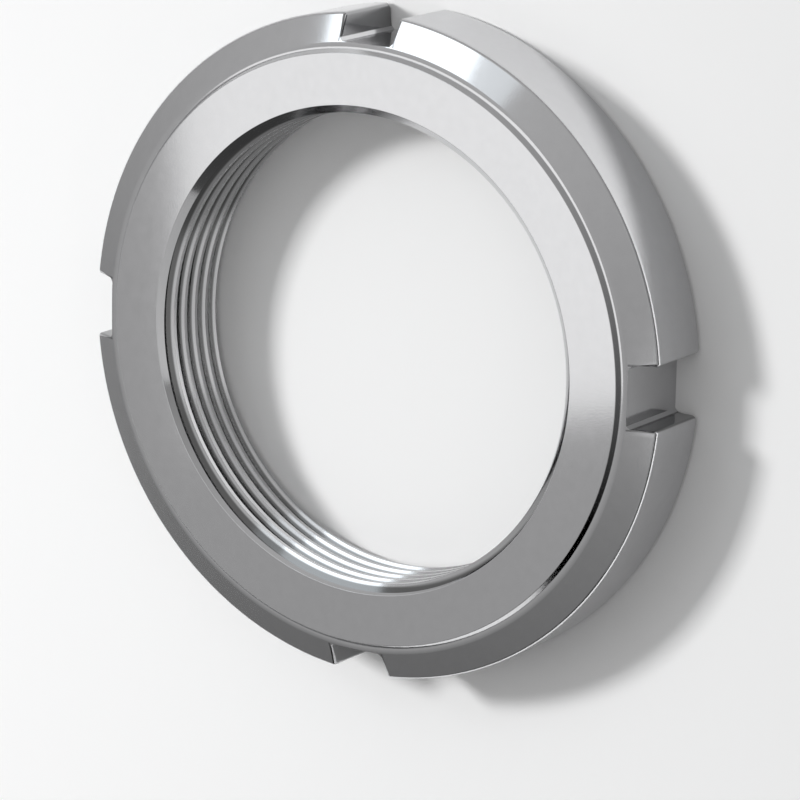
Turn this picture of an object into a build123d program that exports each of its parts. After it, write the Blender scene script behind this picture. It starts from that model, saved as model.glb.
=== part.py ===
"""Round slotted lock nut for a bearing seat, thread M55 x 2.

The nut is turned from one ring of steel. It lies flat on its back face, with its axis along +Z
and its stepped bearing face up. The origin is the centre of the back face. Four hook spanner
slots are milled across the rim, on +X, +Y, -X and -Y. All sizes are in millimetres.
"""
import os
from math import radians, sqrt, tan

from build123d import *

# Thread, bored to its minor diameter and countersunk to its major diameter at both ends
thread_d = 55.0
thread_pitch = 2.0
countersink_angle = 45.0

# Ring
rim_d = 75.0
width = 11.0
back_chamfer = 0.6

# Raised bearing face set in from the rim, the step round it, a narrow ledge and the cone
# that falls to the rim
face_inset = 4.25
face_edge_r = 0.1
step_height = 0.5
step_lean = 38.0
ledge_width = 0.45
ledge_blend_r = 1.5
cone_angle = 24.0
rim_edge_r = 0.45

# Hook spanner slots, with their floors just outside the ledge
slot_count = 4
slot_width = 7.0
slot_floor_gap = 0.2
slot_corner_chamfer = 0.4
slot_edge_r = 0.4

# Radii and heights that follow from the sizes above
basic_minor_depth = 5 * sqrt(3) / 16 * thread_pitch
thread_r = thread_d / 2
bore_r = thread_r - basic_minor_depth
countersink_depth = basic_minor_depth / tan(radians(countersink_angle))
rim_r = rim_d / 2
face_r = rim_r - face_inset
ledge_z = width - step_height
step_foot_r = face_r + step_height * tan(radians(step_lean))
ledge_r = step_foot_r + ledge_width
rim_top_z = ledge_z - (rim_r - ledge_r) * tan(radians(cone_angle))
slot_floor_r = ledge_r + slot_floor_gap
slot_depth = rim_r - slot_floor_r


def from_axis(shape):
    """Distance of a shape's centre from the nut's axis."""
    centre = shape.center()
    return Vector(centre.X, centre.Y).length


with BuildPart() as lock_nut:
    # Half section of the ring, turned about the axis
    with BuildSketch(Plane.XZ) as section:
        with BuildLine():
            Polyline(
                (bore_r, countersink_depth),
                (bore_r, width - countersink_depth),
                (thread_r, width),
                (face_r, width),
                (step_foot_r, ledge_z),
                (ledge_r, ledge_z),
                (rim_r, rim_top_z),
                (rim_r, back_chamfer),
                (rim_r - back_chamfer, 0),
                (thread_r, 0),
                close=True,
            )
        make_face()
        fillet(section.vertices().sort_by_distance((face_r, width))[0], face_edge_r)
        fillet(section.vertices().sort_by_distance((ledge_r, ledge_z))[0], ledge_blend_r)
        fillet(section.vertices().sort_by_distance((rim_r, rim_top_z))[0], rim_edge_r)
    revolve(axis=Axis.Z)

    # Slots milled straight through the rim, each with a flat floor and chamfered corners
    with BuildSketch() as slot_plan:
        with PolarLocations(slot_floor_r, slot_count):
            Rectangle(2 * slot_depth, slot_width, align=(Align.MIN, Align.CENTER))
        chamfer(slot_plan.vertices().sort_by(from_axis)[: 2 * slot_count], slot_corner_chamfer)
    extrude(amount=width, mode=Mode.SUBTRACT)

    # Every outer edge of the slot walls broken, from the ledge over the rim to the back face
    upright_faces = lock_nut.faces().filter_by(GeomType.PLANE).filter_by(Plane.XY, reverse=True)
    slot_walls = upright_faces.sort_by(from_axis)[-2 * slot_count :]
    outer_edges = [edge for wall in slot_walls for edge in wall.edges().sort_by(from_axis)[1:]]
    fillet(outer_edges, slot_edge_r)

lock_nut.part.label = "lock_nut"
os.makedirs("parts", exist_ok=True)
export_step(lock_nut.part, "parts/lock_nut.step")
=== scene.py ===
"""Looks of a bearing lock nut: one turned, milled and threaded steel ring in a plain studio.

The nut lies on its back face with its axis along +Z and its stepped bearing face up. Every
length is in metres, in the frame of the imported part.
"""

import logging
import math
from dataclasses import dataclass, field
from enum import Enum
from typing import Any

import bmesh
import bpy
from mathutils import Euler, Matrix, Vector

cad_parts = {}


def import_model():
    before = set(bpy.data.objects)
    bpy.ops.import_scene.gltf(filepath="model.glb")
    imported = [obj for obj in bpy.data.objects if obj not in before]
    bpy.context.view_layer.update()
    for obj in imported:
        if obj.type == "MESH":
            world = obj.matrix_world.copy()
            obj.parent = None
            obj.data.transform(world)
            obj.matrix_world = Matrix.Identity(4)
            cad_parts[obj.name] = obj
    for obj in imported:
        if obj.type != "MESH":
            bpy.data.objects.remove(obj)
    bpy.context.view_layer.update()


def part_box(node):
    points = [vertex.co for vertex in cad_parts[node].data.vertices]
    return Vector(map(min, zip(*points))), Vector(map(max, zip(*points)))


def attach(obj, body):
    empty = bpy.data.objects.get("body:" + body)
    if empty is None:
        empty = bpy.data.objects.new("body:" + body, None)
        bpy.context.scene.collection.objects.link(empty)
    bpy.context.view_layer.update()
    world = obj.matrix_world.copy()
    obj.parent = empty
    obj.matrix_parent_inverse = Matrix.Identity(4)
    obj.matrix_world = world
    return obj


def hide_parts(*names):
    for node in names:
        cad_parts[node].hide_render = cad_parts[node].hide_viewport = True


MM = 0.001
UP = Vector((0.0, 0.0, 1.0))
TOWARDS_X = Vector((1.0, 0.0, 0.0))
# Proportions of a metric thread
MINOR_DEPTH_IN_PITCHES = 5 * math.sqrt(3) / 16
FLAT_IN_PITCHES = 1 / 8
FLANK_ANGLE = math.radians(30.0)
# Colours, the middle of a noise pattern and the places of the Mix node's colour sockets
WHITE = (1.0, 1.0, 1.0, 1.0)
WINDOW_TINT = (0.86, 0.94, 1.0)
NOISE_MIDDLE = 0.5
MIX_FACTOR, MIX_A, MIX_B, MIX_RESULT = 0, 6, 7, 2
LOG = logging.getLogger("lock_nut_scene")


class Face(Enum):
    """Material index that tells what made a face while the nut is being cut."""

    TURNED = 0
    MILLED = 1


@dataclass(frozen=True)
class Corner:
    """One corner of a turned section.

    Attributes:
        radius: Distance from the nut's axis.
        height: Height above the back face.
        rounding: Radius of the arc that breaks the corner, or 0 for a sharp one.
        segments: Straight pieces in that arc, unused for a sharp corner.
    """

    radius: float
    height: float
    rounding: float = 0.0
    segments: int = 0

    def point(self) -> Vector:
        """Returns the corner as a point in the XZ plane."""
        return Vector((self.radius, 0.0, self.height))


def link_object(name: str, data: bpy.types.ID) -> bpy.types.Object:
    """Puts a mesh, light or camera into the scene as an object at the origin.

    Args:
        name: The object's name.
        data: Its mesh, light or camera.

    Returns:
        The new object.
    """
    made = bpy.data.objects.new(name, data)
    bpy.context.scene.collection.objects.link(made)
    return made


def direction_at(azimuth: float, elevation: float) -> Vector:
    """Works out a direction from two angles.

    Args:
        azimuth: Angle from +X towards +Y.
        elevation: Angle above the floor.

    Returns:
        The direction, of length 1.
    """
    return Euler((0.0, -elevation, azimuth)).to_matrix() @ TOWARDS_X


def mesh_from(bm: bmesh.types.BMesh, name: str) -> bpy.types.Mesh:
    """Turns a bmesh into a mesh with its faces pointing outwards, and frees it.

    Args:
        bm: The bmesh.
        name: The new mesh's name.

    Returns:
        The new mesh.
    """
    bmesh.ops.recalc_face_normals(bm, faces=bm.faces)
    mesh = bpy.data.meshes.new(name)
    bm.to_mesh(mesh)
    bm.free()
    return mesh


@dataclass
class LockNut:
    """The whole nut: its turned ring, four milled slots and cut thread.

    Attributes:
        thread_start: Height at which one pitch of the thread begins near +X.
        tap_clearance: How far inside the bore the tap's core lies.
        spare_turns: Turns of the tap past each end of the nut, before it is cut to length.
        cutter_overrun: How far the slot cutters reach past the rim.
        wall_cosine: A milled face that faces outwards by less than this is a slot's wall.
        columns: Columns of faces in one turn.
        merge_distance: Points closer than this become one.
        smooth_below: Edges that turn by less than this are shaded smoothly.
    """

    name: str = "steel_lock_nut"
    width: float = 11.0 * MM
    thread_radius: float = 27.5 * MM
    thread_pitch: float = 2.0 * MM
    thread_start: float = 0.40 * MM
    tap_clearance: float = 0.2 * MM
    spare_turns: int = 2
    rim_radius: float = 37.5 * MM
    back_chamfer: float = 0.6 * MM
    face_inset: float = 4.25 * MM
    step_height: float = 0.5 * MM
    step_lean: float = math.radians(38.0)
    ledge_width: float = 0.45 * MM
    cone_angle: float = math.radians(24.0)
    face_rounding: float = 0.1 * MM
    mouth_rounding: float = 0.06 * MM
    step_foot_rounding: float = 0.08 * MM
    ledge_rounding: float = 1.5 * MM
    rim_rounding: float = 0.45 * MM
    slot_count: int = 4
    slot_width: float = 7.0 * MM
    slot_floor_gap: float = 0.2 * MM
    slot_corner_chamfer: float = 0.4 * MM
    slot_edge_rounding: float = 0.4 * MM
    slot_edge_segments: int = 4
    cutter_overrun: float = 2.0 * MM
    wall_cosine: float = 0.5
    columns: int = 240
    merge_distance: float = 0.002 * MM
    smooth_below: float = math.radians(32.0)

    @property
    def bore_radius(self) -> float:
        """Returns the thread's minor radius, 5/8 of the sharp thread's height inside."""
        return self.thread_radius - MINOR_DEPTH_IN_PITCHES * self.thread_pitch

    @property
    def column_angle(self) -> float:
        """Returns the angle between two columns of faces."""
        return math.tau / self.columns

    @property
    def step_foot_radius(self) -> float:
        """Returns how far the foot of the leaning step lies from the axis."""
        return self.rim_radius - self.face_inset + self.step_height * math.tan(self.step_lean)

    @property
    def slot_floor_radius(self) -> float:
        """Returns how far the slots' floors lie from the axis."""
        return self.step_foot_radius + self.ledge_width + self.slot_floor_gap

    def section(self) -> list[Corner]:
        """Works out the ring's half section.

        Returns:
            Its corners in order, from the bore up over the bearing face and down the rim.
        """
        countersink = self.thread_radius - self.bore_radius
        face_radius = self.rim_radius - self.face_inset
        ledge_height = self.width - self.step_height
        ledge_radius = self.step_foot_radius + self.ledge_width
        rim_top = ledge_height - (self.rim_radius - ledge_radius) * math.tan(self.cone_angle)
        return [
            Corner(self.bore_radius, countersink),
            Corner(self.bore_radius, self.width - countersink),
            Corner(self.thread_radius, self.width, self.mouth_rounding, 2),
            Corner(face_radius, self.width, self.face_rounding, 3),
            Corner(self.step_foot_radius, ledge_height, self.step_foot_rounding, 2),
            Corner(ledge_radius, ledge_height, self.ledge_rounding, 5),
            Corner(self.rim_radius, rim_top, self.rim_rounding, 5),
            Corner(self.rim_radius, self.back_chamfer),
            Corner(self.rim_radius - self.back_chamfer, 0.0),
            Corner(self.thread_radius, 0.0),
        ]

    def thread_groove(self) -> list[Corner]:
        """Works out one pitch of the tap that cuts the thread.

        Returns:
            The corners of one 60 degree tooth, cut flat at an eighth of the pitch, on a core
            that is clear of the bore.
        """
        core_radius = self.bore_radius - self.tap_clearance
        flat = self.thread_pitch * FLAT_IN_PITCHES
        flank = (self.thread_radius - core_radius) * math.tan(FLANK_ANGLE)
        middle = self.thread_pitch / 2
        return [
            Corner(core_radius, middle - flat / 2 - flank),
            Corner(self.thread_radius, middle - flat / 2),
            Corner(self.thread_radius, middle + flat / 2),
            Corner(core_radius, middle + flat / 2 + flank),
        ]

    def turn_ring(self) -> bpy.types.Mesh:
        """Turns the section into the plain ring.

        Returns:
            The ring's mesh, with its columns of faces turned half a column from +X.
        """
        bm = bmesh.new()
        corners = self.section()
        points = [bm.verts.new(corner.point()) for corner in corners]
        for start, end in zip(points, points[1:] + points[:1]):
            bm.edges.new((start, end))
        neighbours = zip(corners[-1:] + corners[:-1], corners, corners[1:] + corners[:1], points)
        for before, corner, after, point in neighbours:
            if not corner.rounding:
                continue
            arriving = corner.point() - before.point()
            leaving = after.point() - corner.point()
            bmesh.ops.bevel(
                bm, geom=[point], affect="VERTICES", offset_type="OFFSET",
                offset=corner.rounding * math.tan(arriving.angle(leaving) / 2),
                segments=corner.segments, profile=0.5, material=-1, clamp_overlap=False,
            )
        self.spin_section(bm, rise=0.0)
        return mesh_from(bm, "turned_ring")

    def spin_section(self, bm: bmesh.types.BMesh, rise: float) -> None:
        """Turns what a bmesh holds once about the axis, starting half a column from +X.

        Args:
            bm: The section, in the XZ plane.
            rise: How far it climbs in the turn.
        """
        half_column = Matrix.Rotation(self.column_angle / 2, 3, "Z")
        bmesh.ops.rotate(bm, verts=bm.verts, cent=(0, 0, 0), matrix=half_column)
        bmesh.ops.spin(
            bm, geom=bm.verts[:] + bm.edges[:], cent=(0, 0, 0), axis=UP,
            dvec=UP * (rise / self.columns), angle=math.tau, steps=self.columns,
            use_merge=not rise, use_normal_flip=False, use_duplicate=False,
        )
        bmesh.ops.remove_doubles(bm, verts=bm.verts, dist=self.merge_distance)

    def make_tap(self) -> bpy.types.Mesh:
        """Makes the tap: a right-hand helical cutter, a third of a pitch past the nut's ends.

        Returns:
            The closed cutter's mesh.
        """
        bm = bmesh.new()
        turns = math.ceil(self.width / self.thread_pitch) + 2 * self.spare_turns
        first = self.thread_start - self.spare_turns * self.thread_pitch
        groove = self.thread_groove()
        points = [
            bm.verts.new(corner.point() + UP * (first + turn * self.thread_pitch))
            for turn in range(turns)
            for corner in groove
        ]
        for start, end in zip(points, points[1:]):
            bm.edges.new((start, end))
        self.spin_section(bm, rise=self.thread_pitch)
        overrun = self.thread_pitch / 3
        tolerance = self.merge_distance / 10
        for height, outwards in ((self.width + overrun, UP), (-overrun, -UP)):
            cut = bmesh.ops.bisect_plane(
                bm, geom=bm.verts[:] + bm.edges[:] + bm.faces[:], dist=tolerance,
                plane_co=UP * height, plane_no=outwards, clear_outer=True,
            )
            rim = [item for item in cut["geom_cut"] if isinstance(item, bmesh.types.BMEdge)]
            bmesh.ops.edgeloop_fill(bm, edges=rim)
        return mesh_from(bm, "tap")

    def make_slot_cutters(self) -> bpy.types.Mesh:
        """Makes the milling cutters, one box through the rim for each slot.

        Returns:
            A mesh of separate closed boxes, with the slots' corner chamfers.
        """
        bm = bmesh.new()
        length = self.rim_radius - self.slot_floor_radius + self.cutter_overrun
        height = 2 * self.width
        size = Vector((length, self.slot_width, height))
        floor_corners = 4
        for index in range(self.slot_count):
            place = Matrix.Rotation(index * math.tau / self.slot_count, 4, "Z")
            centre = Vector((self.slot_floor_radius + length / 2, 0, self.width / 2))
            shape = place @ Matrix.LocRotScale(centre, None, size)
            box = bmesh.ops.create_cube(bm, size=1.0, matrix=shape)["verts"]
            inner = sorted(box, key=lambda vert: vert.co.xy.length)[:floor_corners]
            upright = [
                edge for edge in bm.edges
                if edge.verts[0] in inner and edge.verts[1] in inner
                and abs(edge.verts[0].co.z - edge.verts[1].co.z) > self.width
            ]
            bmesh.ops.bevel(
                bm, geom=upright, affect="EDGES", offset_type="OFFSET",
                offset=self.slot_corner_chamfer, segments=1, profile=0.5, material=-1,
            )
        for cut_face in bm.faces:
            cut_face.material_index = Face.MILLED.value
        return mesh_from(bm, "slot_cutters")

    def cut(self, ring: bpy.types.Mesh, cutters: list[bpy.types.Mesh]) -> bpy.types.Mesh:
        """Cuts the cutters out of the ring.

        Args:
            ring: The turned ring.
            cutters: Closed meshes, cut away in order.

        Returns:
            The cut mesh.
        """
        blank = link_object("blank", ring)
        tools = []
        for cutter in cutters:
            tool = link_object(cutter.name, cutter)
            modifier = blank.modifiers.new(cutter.name, "BOOLEAN")
            modifier.object = tool
            modifier.operation = "DIFFERENCE"
            modifier.solver = "EXACT"
            tools.append(tool)
        for kind in Face:
            for cut_object in [blank, *tools]:
                cut_object.data.materials.append(marker(kind))
        depsgraph = bpy.context.evaluated_depsgraph_get()
        result = bpy.data.meshes.new_from_object(blank.evaluated_get(depsgraph))
        for used in [blank, *tools]:
            bpy.data.objects.remove(used)
        return result

    def break_slot_edges(self, bm: bmesh.types.BMesh) -> None:
        """Rounds the outer edges of the slot walls, from the cone over the rim to the back face.

        Args:
            bm: The cut nut, with its milled faces marked.
        """
        walls = []
        for cut_face in bm.faces:
            outwards = cut_face.calc_center_median().xy.normalized()
            across = abs(cut_face.normal.xy.dot(outwards)) < self.wall_cosine
            if cut_face.material_index == Face.MILLED.value and across:
                walls.append(cut_face)
        edges = [
            edge for wall in walls for edge in wall.edges
            if any(other.material_index == Face.TURNED.value for other in edge.link_faces)
        ]
        LOG.info("slot walls %d, outer edges %d", len(walls), len(edges))
        bmesh.ops.bevel(
            bm, geom=edges, affect="EDGES", offset_type="OFFSET",
            offset=self.slot_edge_rounding, segments=self.slot_edge_segments, profile=0.5,
            material=-1, clamp_overlap=False, loop_slide=True,
        )

    def build(self, finish: bpy.types.Material) -> bpy.types.Object:
        """Builds the finished nut.

        Args:
            finish: The nut's material.

        Returns:
            The nut's object, at the origin.
        """
        cut = self.cut(self.turn_ring(), [self.make_slot_cutters(), self.make_tap()])
        bm = bmesh.new()
        bm.from_mesh(cut)
        bmesh.ops.remove_doubles(bm, verts=bm.verts, dist=self.merge_distance)
        bmesh.ops.dissolve_degenerate(bm, edges=bm.edges, dist=self.merge_distance)
        self.break_slot_edges(bm)
        for nut_face in bm.faces:
            nut_face.material_index = 0
            nut_face.smooth = True
        mesh = mesh_from(bm, "cut_nut")
        mesh.set_sharp_from_angle(angle=self.smooth_below)
        finished = self.weight_normals(mesh)
        finished.name = self.name
        finished.materials.append(finish)
        return link_object(self.name, finished)

    def weight_normals(self, mesh: bpy.types.Mesh) -> bpy.types.Mesh:
        """Weights the shading by face area, so that broad faces stay true beside fine roundings.

        Blender's modifier passes over corners whose faces add up to less than a square
        millimetre, so it works on the mesh at a thousand times its size.

        Args:
            mesh: The cut nut, with its sharp edges marked. It is used up.

        Returns:
            The same shape with its normals set.
        """
        mesh.transform(Matrix.Scale(1 / MM, 4))
        enlarged = link_object("enlarged", mesh)
        weighting = enlarged.modifiers.new("broad_faces_stay_true", "WEIGHTED_NORMAL")
        weighting.keep_sharp = True
        depsgraph = bpy.context.evaluated_depsgraph_get()
        weighted = bpy.data.meshes.new_from_object(enlarged.evaluated_get(depsgraph))
        weighted.transform(Matrix.Scale(MM, 4))
        bpy.data.objects.remove(enlarged)
        return weighted


def marker(kind: Face) -> bpy.types.Material:
    """Returns the plain material that marks a kind of face while the nut is cut.

    Args:
        kind: What made the face.
    """
    return bpy.data.materials.get(kind.name) or bpy.data.materials.new(kind.name)


@dataclass
class Value:
    """A number that changes over a surface. Its operators add Math nodes to the graph."""

    graph: "Graph"
    socket: bpy.types.NodeSocket

    def _math(self, operation: str, left: "Value | float", right: "Value | float") -> "Value":
        """Adds one Math node.

        Args:
            operation: The node's operation.
            left: Its first value.
            right: Its second value.

        Returns:
            The node's result.
        """
        return self.graph.add("ShaderNodeMath", {"operation": operation}, [left, right])

    def __add__(self, other: "Value | float") -> "Value":
        """Returns this value plus another."""
        return self._math("ADD", self, other)

    def __radd__(self, other: float) -> "Value":
        """Returns a number plus this value."""
        return self._math("ADD", other, self)

    def __sub__(self, other: "Value | float") -> "Value":
        """Returns this value less another."""
        return self._math("SUBTRACT", self, other)

    def __rsub__(self, other: float) -> "Value":
        """Returns a number less this value."""
        return self._math("SUBTRACT", other, self)

    def __mul__(self, other: "Value | float") -> "Value":
        """Returns this value times another."""
        return self._math("MULTIPLY", self, other)

    def __rmul__(self, other: float) -> "Value":
        """Returns a number times this value."""
        return self._math("MULTIPLY", other, self)

    def __lt__(self, other: "Value | float") -> "Value":
        """Returns 1 where this value is less than another, else 0."""
        return self._math("LESS_THAN", self, other)

    def __gt__(self, other: "Value | float") -> "Value":
        """Returns 1 where this value is greater than another, else 0."""
        return self._math("GREATER_THAN", self, other)

    def largest(self, other: "Value | float") -> "Value":
        """Returns the larger of this value and another."""
        return self._math("MAXIMUM", self, other)

    def smallest(self, other: "Value | float") -> "Value":
        """Returns the smaller of this value and another."""
        return self._math("MINIMUM", self, other)

    def ramp(self, start: float, end: float, first: float, last: float) -> "Value":
        """Turns this value smoothly from one number into another.

        Args:
            start: Where the change starts.
            end: Where it ends.
            first: The result up to the start.
            last: The result from the end on.

        Returns:
            The changing value.
        """
        settings = {"interpolation_type": "SMOOTHSTEP"}
        return self.graph.add("ShaderNodeMapRange", settings, [self, start, end, first, last])


class Graph:
    """The node tree of one material or world, emptied and built up again."""

    def __init__(self, owner: bpy.types.Material | bpy.types.World) -> None:
        """Empties the owner's node tree.

        Args:
            owner: The material or world.
        """
        owner.use_nodes = True
        self.tree = owner.node_tree
        self.tree.nodes.clear()

    def add(self, kind: str, settings: dict[str, Any], inputs: Any, output: int | str = 0) -> Value:
        """Adds any node.

        Args:
            kind: The node's type.
            settings: Its own settings, set before its sockets.
            inputs: A list of values for its first sockets, or a dictionary by socket name or
                place. A Value is linked and anything else is set.
            output: The socket that is returned, by name or place.

        Returns:
            The chosen output.
        """
        node = self.tree.nodes.new(kind)
        for setting, value in settings.items():
            setattr(node, setting, value)
        pairs = inputs.items() if isinstance(inputs, dict) else enumerate(inputs)
        for place, value in pairs:
            if isinstance(value, Value):
                self.tree.links.new(value.socket, node.inputs[place])
            else:
                node.inputs[place].default_value = value
        return Value(self, node.outputs[output] if node.outputs else None)


@dataclass(frozen=True)
class SatinSteel:
    """Turned steel: a soft even sheen, a fine mottle, and painted shade in the thread roots and on
    the slots' walls.

    Attributes:
        roughness_spread: How far the roughness changes with the mottle and the grain.
        mottle_share: How much of that change follows the mottle.
        grain_share: How much of it follows the grain.
        root_starts: Depth in the thread at which the painted shade starts.
        root_ends: Depth from which the painted shade is full.
        wall_shade_edge: How far to each side of a slot's wall the painted shade stays full.
        wall_shade_fade: How far past the wall the painted shade has faded out.
    """

    name: str = "satin_steel"
    light_tone: tuple[float, float, float, float] = (0.69, 0.69, 0.70, 1.0)
    dark_tone: tuple[float, float, float, float] = (0.635, 0.635, 0.645, 1.0)
    # Painted shade: the thread roots are darkened where the flanks shade each other.
    root_shade_tone: tuple[float, float, float, float] = (0.19, 0.19, 0.19, 1.0)
    # Painted shade: the slots' walls are darkened, standing in for a dark reflection.
    wall_shade_tone: tuple[float, float, float, float] = (0.32, 0.32, 0.325, 1.0)
    roughness: float = 0.106
    roughness_spread: float = 0.04
    mottle_size: float = 1.4 * MM
    grain_size: float = 0.22 * MM
    grain_relief: float = 0.0012 * MM
    mottle_detail: float = 3.0
    grain_detail: float = 2.0
    noise_roughness: float = 0.6
    mottle_share: float = 0.6
    grain_share: float = 0.4
    root_starts: float = 0.20 * MM
    root_ends: float = 0.42 * MM
    wall_shade_edge: float = 0.05 * MM
    wall_shade_fade: float = 0.25 * MM

    def noise(self, graph: Graph, where: Value, size: float, detail: float) -> Value:
        """Adds a noise pattern.

        Args:
            graph: The material's graph.
            where: The point to read it at, in metres.
            size: How large its features are.
            detail: How many finer layers it has.

        Returns:
            A value about 0.5.
        """
        inputs = {
            "Vector": where, "Scale": 1 / size, "Detail": detail, "Roughness": self.noise_roughness,
        }
        return graph.add("ShaderNodeTexNoise", {}, inputs, "Fac")

    def root_shade_mask(self, graph: Graph, where: Value, nut: LockNut) -> Value:
        """Finds the thread's roots, where shade is painted into the colour.

        Args:
            graph: The material's graph.
            where: The point, in metres.
            nut: The nut whose thread it is.

        Returns:
            0 on the crests, the countersinks and everywhere outside the thread, and 1 at depth.
        """
        flat = graph.add("ShaderNodeVectorMath", {"operation": "MULTIPLY"}, [where, (1, 1, 0)])
        radius = graph.add("ShaderNodeVectorMath", {"operation": "LENGTH"}, [flat], "Value")
        height = graph.add(
            "ShaderNodeVectorMath", {"operation": "DOT_PRODUCT"}, [where, tuple(UP)], "Value"
        )
        top_countersink = height + (nut.thread_radius - nut.width)
        back_countersink = nut.thread_radius - height
        bored = top_countersink.largest(back_countersink).largest(nut.bore_radius)
        depth = (radius - bored).ramp(self.root_starts, self.root_ends, 0.0, 1.0)
        return depth * (radius < nut.thread_radius + nut.merge_distance)

    def wall_shade_mask(self, graph: Graph, where: Value, nut: LockNut) -> Value:
        """Finds the milled walls of the slots, where shade is painted into the colour.

        Args:
            graph: The material's graph.
            where: The point, in metres.
            nut: The nut whose slots they are.

        Returns:
            1 on the walls, fading out over their rounded edges, and 0 everywhere else.
        """
        size = graph.add("ShaderNodeVectorMath", {"operation": "ABSOLUTE"}, [where])
        across = graph.add("ShaderNodeSeparateXYZ", {}, [size], "X")
        along = graph.add("ShaderNodeSeparateXYZ", {}, [size], "Y")
        beside = across.smallest(along)
        outwards = across.largest(along)
        wall = nut.slot_width / 2
        fade = beside.ramp(wall + self.wall_shade_edge, wall + self.wall_shade_fade, 1.0, 0.0)
        in_slot = outwards > nut.slot_floor_radius - self.wall_shade_edge
        return fade * in_slot * (beside > wall - self.wall_shade_edge)

    def make(self, nut: LockNut) -> bpy.types.Material:
        """Makes the material.

        Args:
            nut: The nut that it is for.

        Returns:
            The finished material.
        """
        material = bpy.data.materials.new(self.name)
        graph = Graph(material)
        point = graph.add("ShaderNodeTexCoord", {}, {}, "Object")
        mottle = self.noise(graph, point, self.mottle_size, self.mottle_detail)
        grain = self.noise(graph, point, self.grain_size, self.grain_detail)
        mixed = {"Factor": mottle, "A": self.dark_tone, "B": self.light_tone}
        tone = self.mix_colours(graph, mixed)
        # Painted shade, deepest in the thread roots.
        root = self.root_shade_mask(graph, point, nut)
        tone = self.mix_colours(graph, {"Factor": root, "A": tone, "B": self.root_shade_tone})
        # Painted shade on the slots' walls.
        milled = self.wall_shade_mask(graph, point, nut)
        tone = self.mix_colours(graph, {"Factor": milled, "A": tone, "B": self.wall_shade_tone})
        pattern = mottle * self.mottle_share + grain * self.grain_share - NOISE_MIDDLE
        roughness = self.roughness + self.roughness_spread * pattern
        relief = graph.add(
            "ShaderNodeBump", {},
            {"Strength": 1.0, "Distance": self.grain_relief, "Height": grain},
        )
        shader = graph.add(
            "ShaderNodeBsdfPrincipled", {},
            {"Base Color": tone, "Metallic": 1.0, "Roughness": roughness, "Normal": relief},
        )
        graph.add("ShaderNodeOutputMaterial", {}, {"Surface": shader})
        return material

    @staticmethod
    def mix_colours(graph: Graph, inputs: dict[str, Any]) -> Value:
        """Mixes two colours.

        Args:
            graph: The material's graph.
            inputs: Factor, and the colours A and B.

        Returns:
            The mixed colour.
        """
        places = {MIX_FACTOR: inputs["Factor"], MIX_A: inputs["A"], MIX_B: inputs["B"]}
        return graph.add("ShaderNodeMix", {"data_type": "RGBA"}, places, MIX_RESULT)


@dataclass(frozen=True)
class PaleFloor:
    """The plain pale floor that the nut lies on."""

    half_size: float = 3.0
    colour: tuple[float, float, float, float] = (0.98, 0.98, 0.98, 1.0)
    roughness: float = 1.0

    def build(self) -> None:
        """Lays the floor."""
        bm = bmesh.new()
        bmesh.ops.create_grid(bm, x_segments=1, y_segments=1, size=self.half_size)
        floor = link_object("floor", mesh_from(bm, "floor"))
        material = bpy.data.materials.new("pale_floor")
        graph = Graph(material)
        shader = graph.add(
            "ShaderNodeBsdfDiffuse", {}, {"Color": self.colour, "Roughness": self.roughness}
        )
        graph.add("ShaderNodeOutputMaterial", {}, {"Surface": shader})
        floor.data.materials.append(material)


@dataclass(frozen=True)
class SoftBox:
    """A rectangular studio light that faces the nut.

    Attributes:
        name: What the light does.
        azimuth: Direction to the light, from +X towards +Y.
        elevation: Its height above the floor, as an angle.
        distance: How far away it hangs.
        size: Its width and height.
        turn: How far it is turned about its own line to the nut.
        radiance: How bright its surface is, where 1 is white.
        tint: Its colour.
        mirrored: Whether the steel mirrors it.
    """

    name: str
    azimuth: float
    elevation: float
    distance: float
    size: tuple[float, float]
    turn: float
    radiance: float
    tint: tuple[float, float, float] = (1.0, 1.0, 1.0)
    mirrored: bool = True

    def build(self, target: Vector) -> None:
        """Hangs the light.

        Args:
            target: The point it faces.
        """
        light = bpy.data.lights.new(self.name, "AREA")
        light.shape = "RECTANGLE"
        light.size, light.size_y = self.size
        light.energy = self.radiance * math.pi * self.size[0] * self.size[1]
        light.color = self.tint
        holder = link_object(self.name, light)
        holder.visible_camera = False
        holder.visible_glossy = self.mirrored
        direction = direction_at(self.azimuth, self.elevation)
        facing = direction.to_track_quat("Z", "Y").to_matrix() @ Matrix.Rotation(self.turn, 3, "Z")
        holder.matrix_world = Matrix.LocRotScale(
            target + direction * self.distance, facing.to_quaternion(), None
        )


@dataclass(frozen=True)
class Camera:
    """The camera, looking down on the nut from the side that the photograph shows."""

    azimuth: float = math.radians(-65.54)
    elevation: float = math.radians(54.03)
    distance: float = 506.5 * MM
    aim: Vector = field(default_factory=lambda: Vector((-7.78, 1.44, 0.0)) * MM)
    roll: float = math.radians(-1.11)
    focal_length: float = 202.09
    sensor_width: float = 36.0
    clip_start: float = 10.0 * MM

    def build(self) -> None:
        """Sets up the camera, with +X of the nut upwards in the picture."""
        data = bpy.data.cameras.new("camera")
        data.lens = self.focal_length
        data.sensor_width = self.sensor_width
        data.clip_start = self.clip_start
        camera = link_object("camera", data)
        away = direction_at(self.azimuth, self.elevation)
        up = (TOWARDS_X - away * away.x).normalized()
        upright = Matrix((up.cross(away), up, away)).transposed()
        turned = Matrix.Rotation(self.roll, 3, -away) @ upright
        camera.matrix_world = Matrix.LocRotScale(
            self.aim + away * self.distance, turned.to_quaternion(), None
        )
        bpy.context.scene.camera = camera


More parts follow.
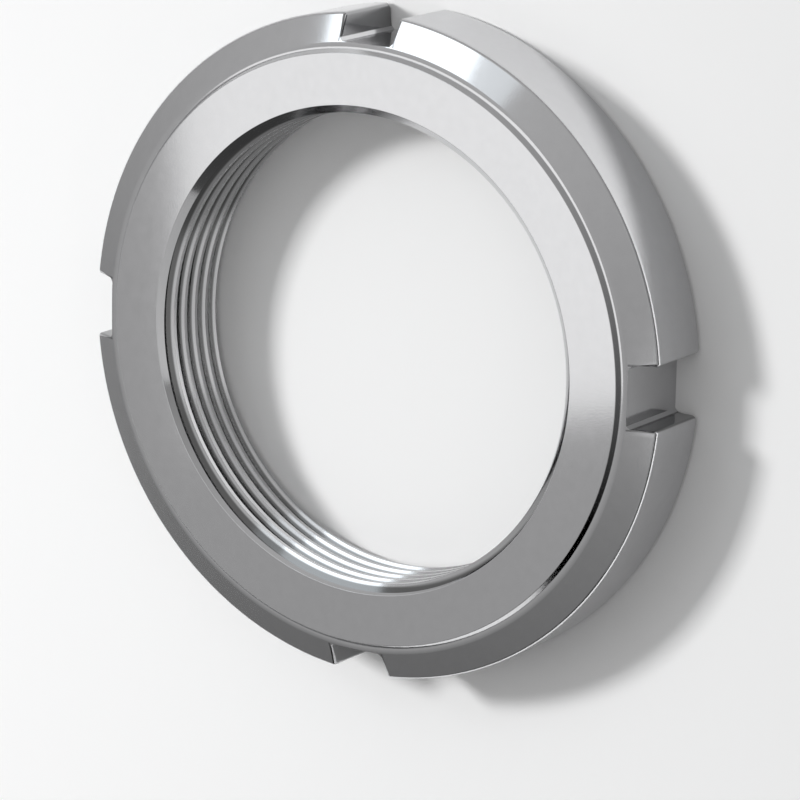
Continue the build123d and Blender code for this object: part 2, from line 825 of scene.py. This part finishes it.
@dataclass(frozen=True)
class Walls:
    """The studio's plain walls and ceiling, which brighten evenly towards one side.

    Attributes:
        level: Their middle brightness, where 1 is white.
        lean: How much brighter they get towards +X, +Y and the ceiling.
    """

    level: float = 0.205
    lean: tuple[float, float, float] = (0.206, 0.134, 0.255)

    def build(self) -> None:
        """Makes them the scene's world."""
        world = bpy.data.worlds.new("studio_walls")
        bpy.context.scene.world = world
        graph = Graph(world)
        direction = graph.add("ShaderNodeTexCoord", {}, {}, "Generated")
        towards = graph.add(
            "ShaderNodeVectorMath", {"operation": "DOT_PRODUCT"}, [direction, self.lean], "Value"
        )
        plain = {"Color": WHITE, "Strength": towards + self.level}
        light = graph.add("ShaderNodeBackground", {}, plain)
        graph.add("ShaderNodeOutputWorld", {}, {"Surface": light})


@dataclass
class Studio:
    """The floor, the walls and the lights."""

    lights: tuple[SoftBox, ...] = (
        SoftBox(
            name="near_box", azimuth=math.radians(95.9), elevation=math.radians(63.9),
            distance=0.170, size=(0.082, 0.097), turn=math.radians(2.2), radiance=0.68,
        ),
        SoftBox(
            name="window_box", azimuth=math.radians(39.5), elevation=math.radians(45.5),
            distance=0.866, size=(0.42, 0.135), turn=math.radians(-43.0), radiance=1.65,
            tint=WINDOW_TINT,
        ),
        SoftBox(
            name="window_side", azimuth=math.radians(19.0), elevation=math.radians(57.5),
            distance=0.866, size=(0.11, 0.135), turn=math.radians(-50.0), radiance=0.5,
            tint=WINDOW_TINT,
        ),
        SoftBox(
            name="spot", azimuth=math.radians(65.8), elevation=math.radians(47.3),
            distance=0.7, size=(0.12, 0.12), turn=0.0, radiance=83.0, mirrored=False,
        ),
        SoftBox(
            name="low_fill", azimuth=math.radians(-120.9), elevation=math.radians(34.7),
            distance=2.0, size=(2.6, 0.25), turn=math.radians(15.8), radiance=0.44,
        ),
        SoftBox(
            name="bore_strip", azimuth=math.radians(-112.8), elevation=math.radians(66.5),
            distance=2.0, size=(2.17, 0.17), turn=math.radians(20.0), radiance=0.36,
        ),
    )

    def build(self, target: Vector) -> None:
        """Sets up the floor, the walls and the lights.

        Args:
            target: The point that the lights face.
        """
        PaleFloor().build()
        Walls().build()
        for light in self.lights:
            light.build(target)
        bpy.context.scene.view_settings.view_transform = "Standard"


def main() -> None:
    """Builds the nut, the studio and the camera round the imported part."""
    logging.basicConfig(level=logging.INFO, format="%(name)s: %(message)s")
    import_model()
    low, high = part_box("lock_nut")
    lock_nut = LockNut(width=high.z - low.z)
    nut = lock_nut.build(SatinSteel().make(lock_nut))
    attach(nut, "root")
    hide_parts("lock_nut")
    LOG.info("%s: %d faces", nut.name, len(nut.data.polygons))
    Studio().build(target=(low + high) / 2)
    Camera().build()


if __name__ == "__main__":
    main()
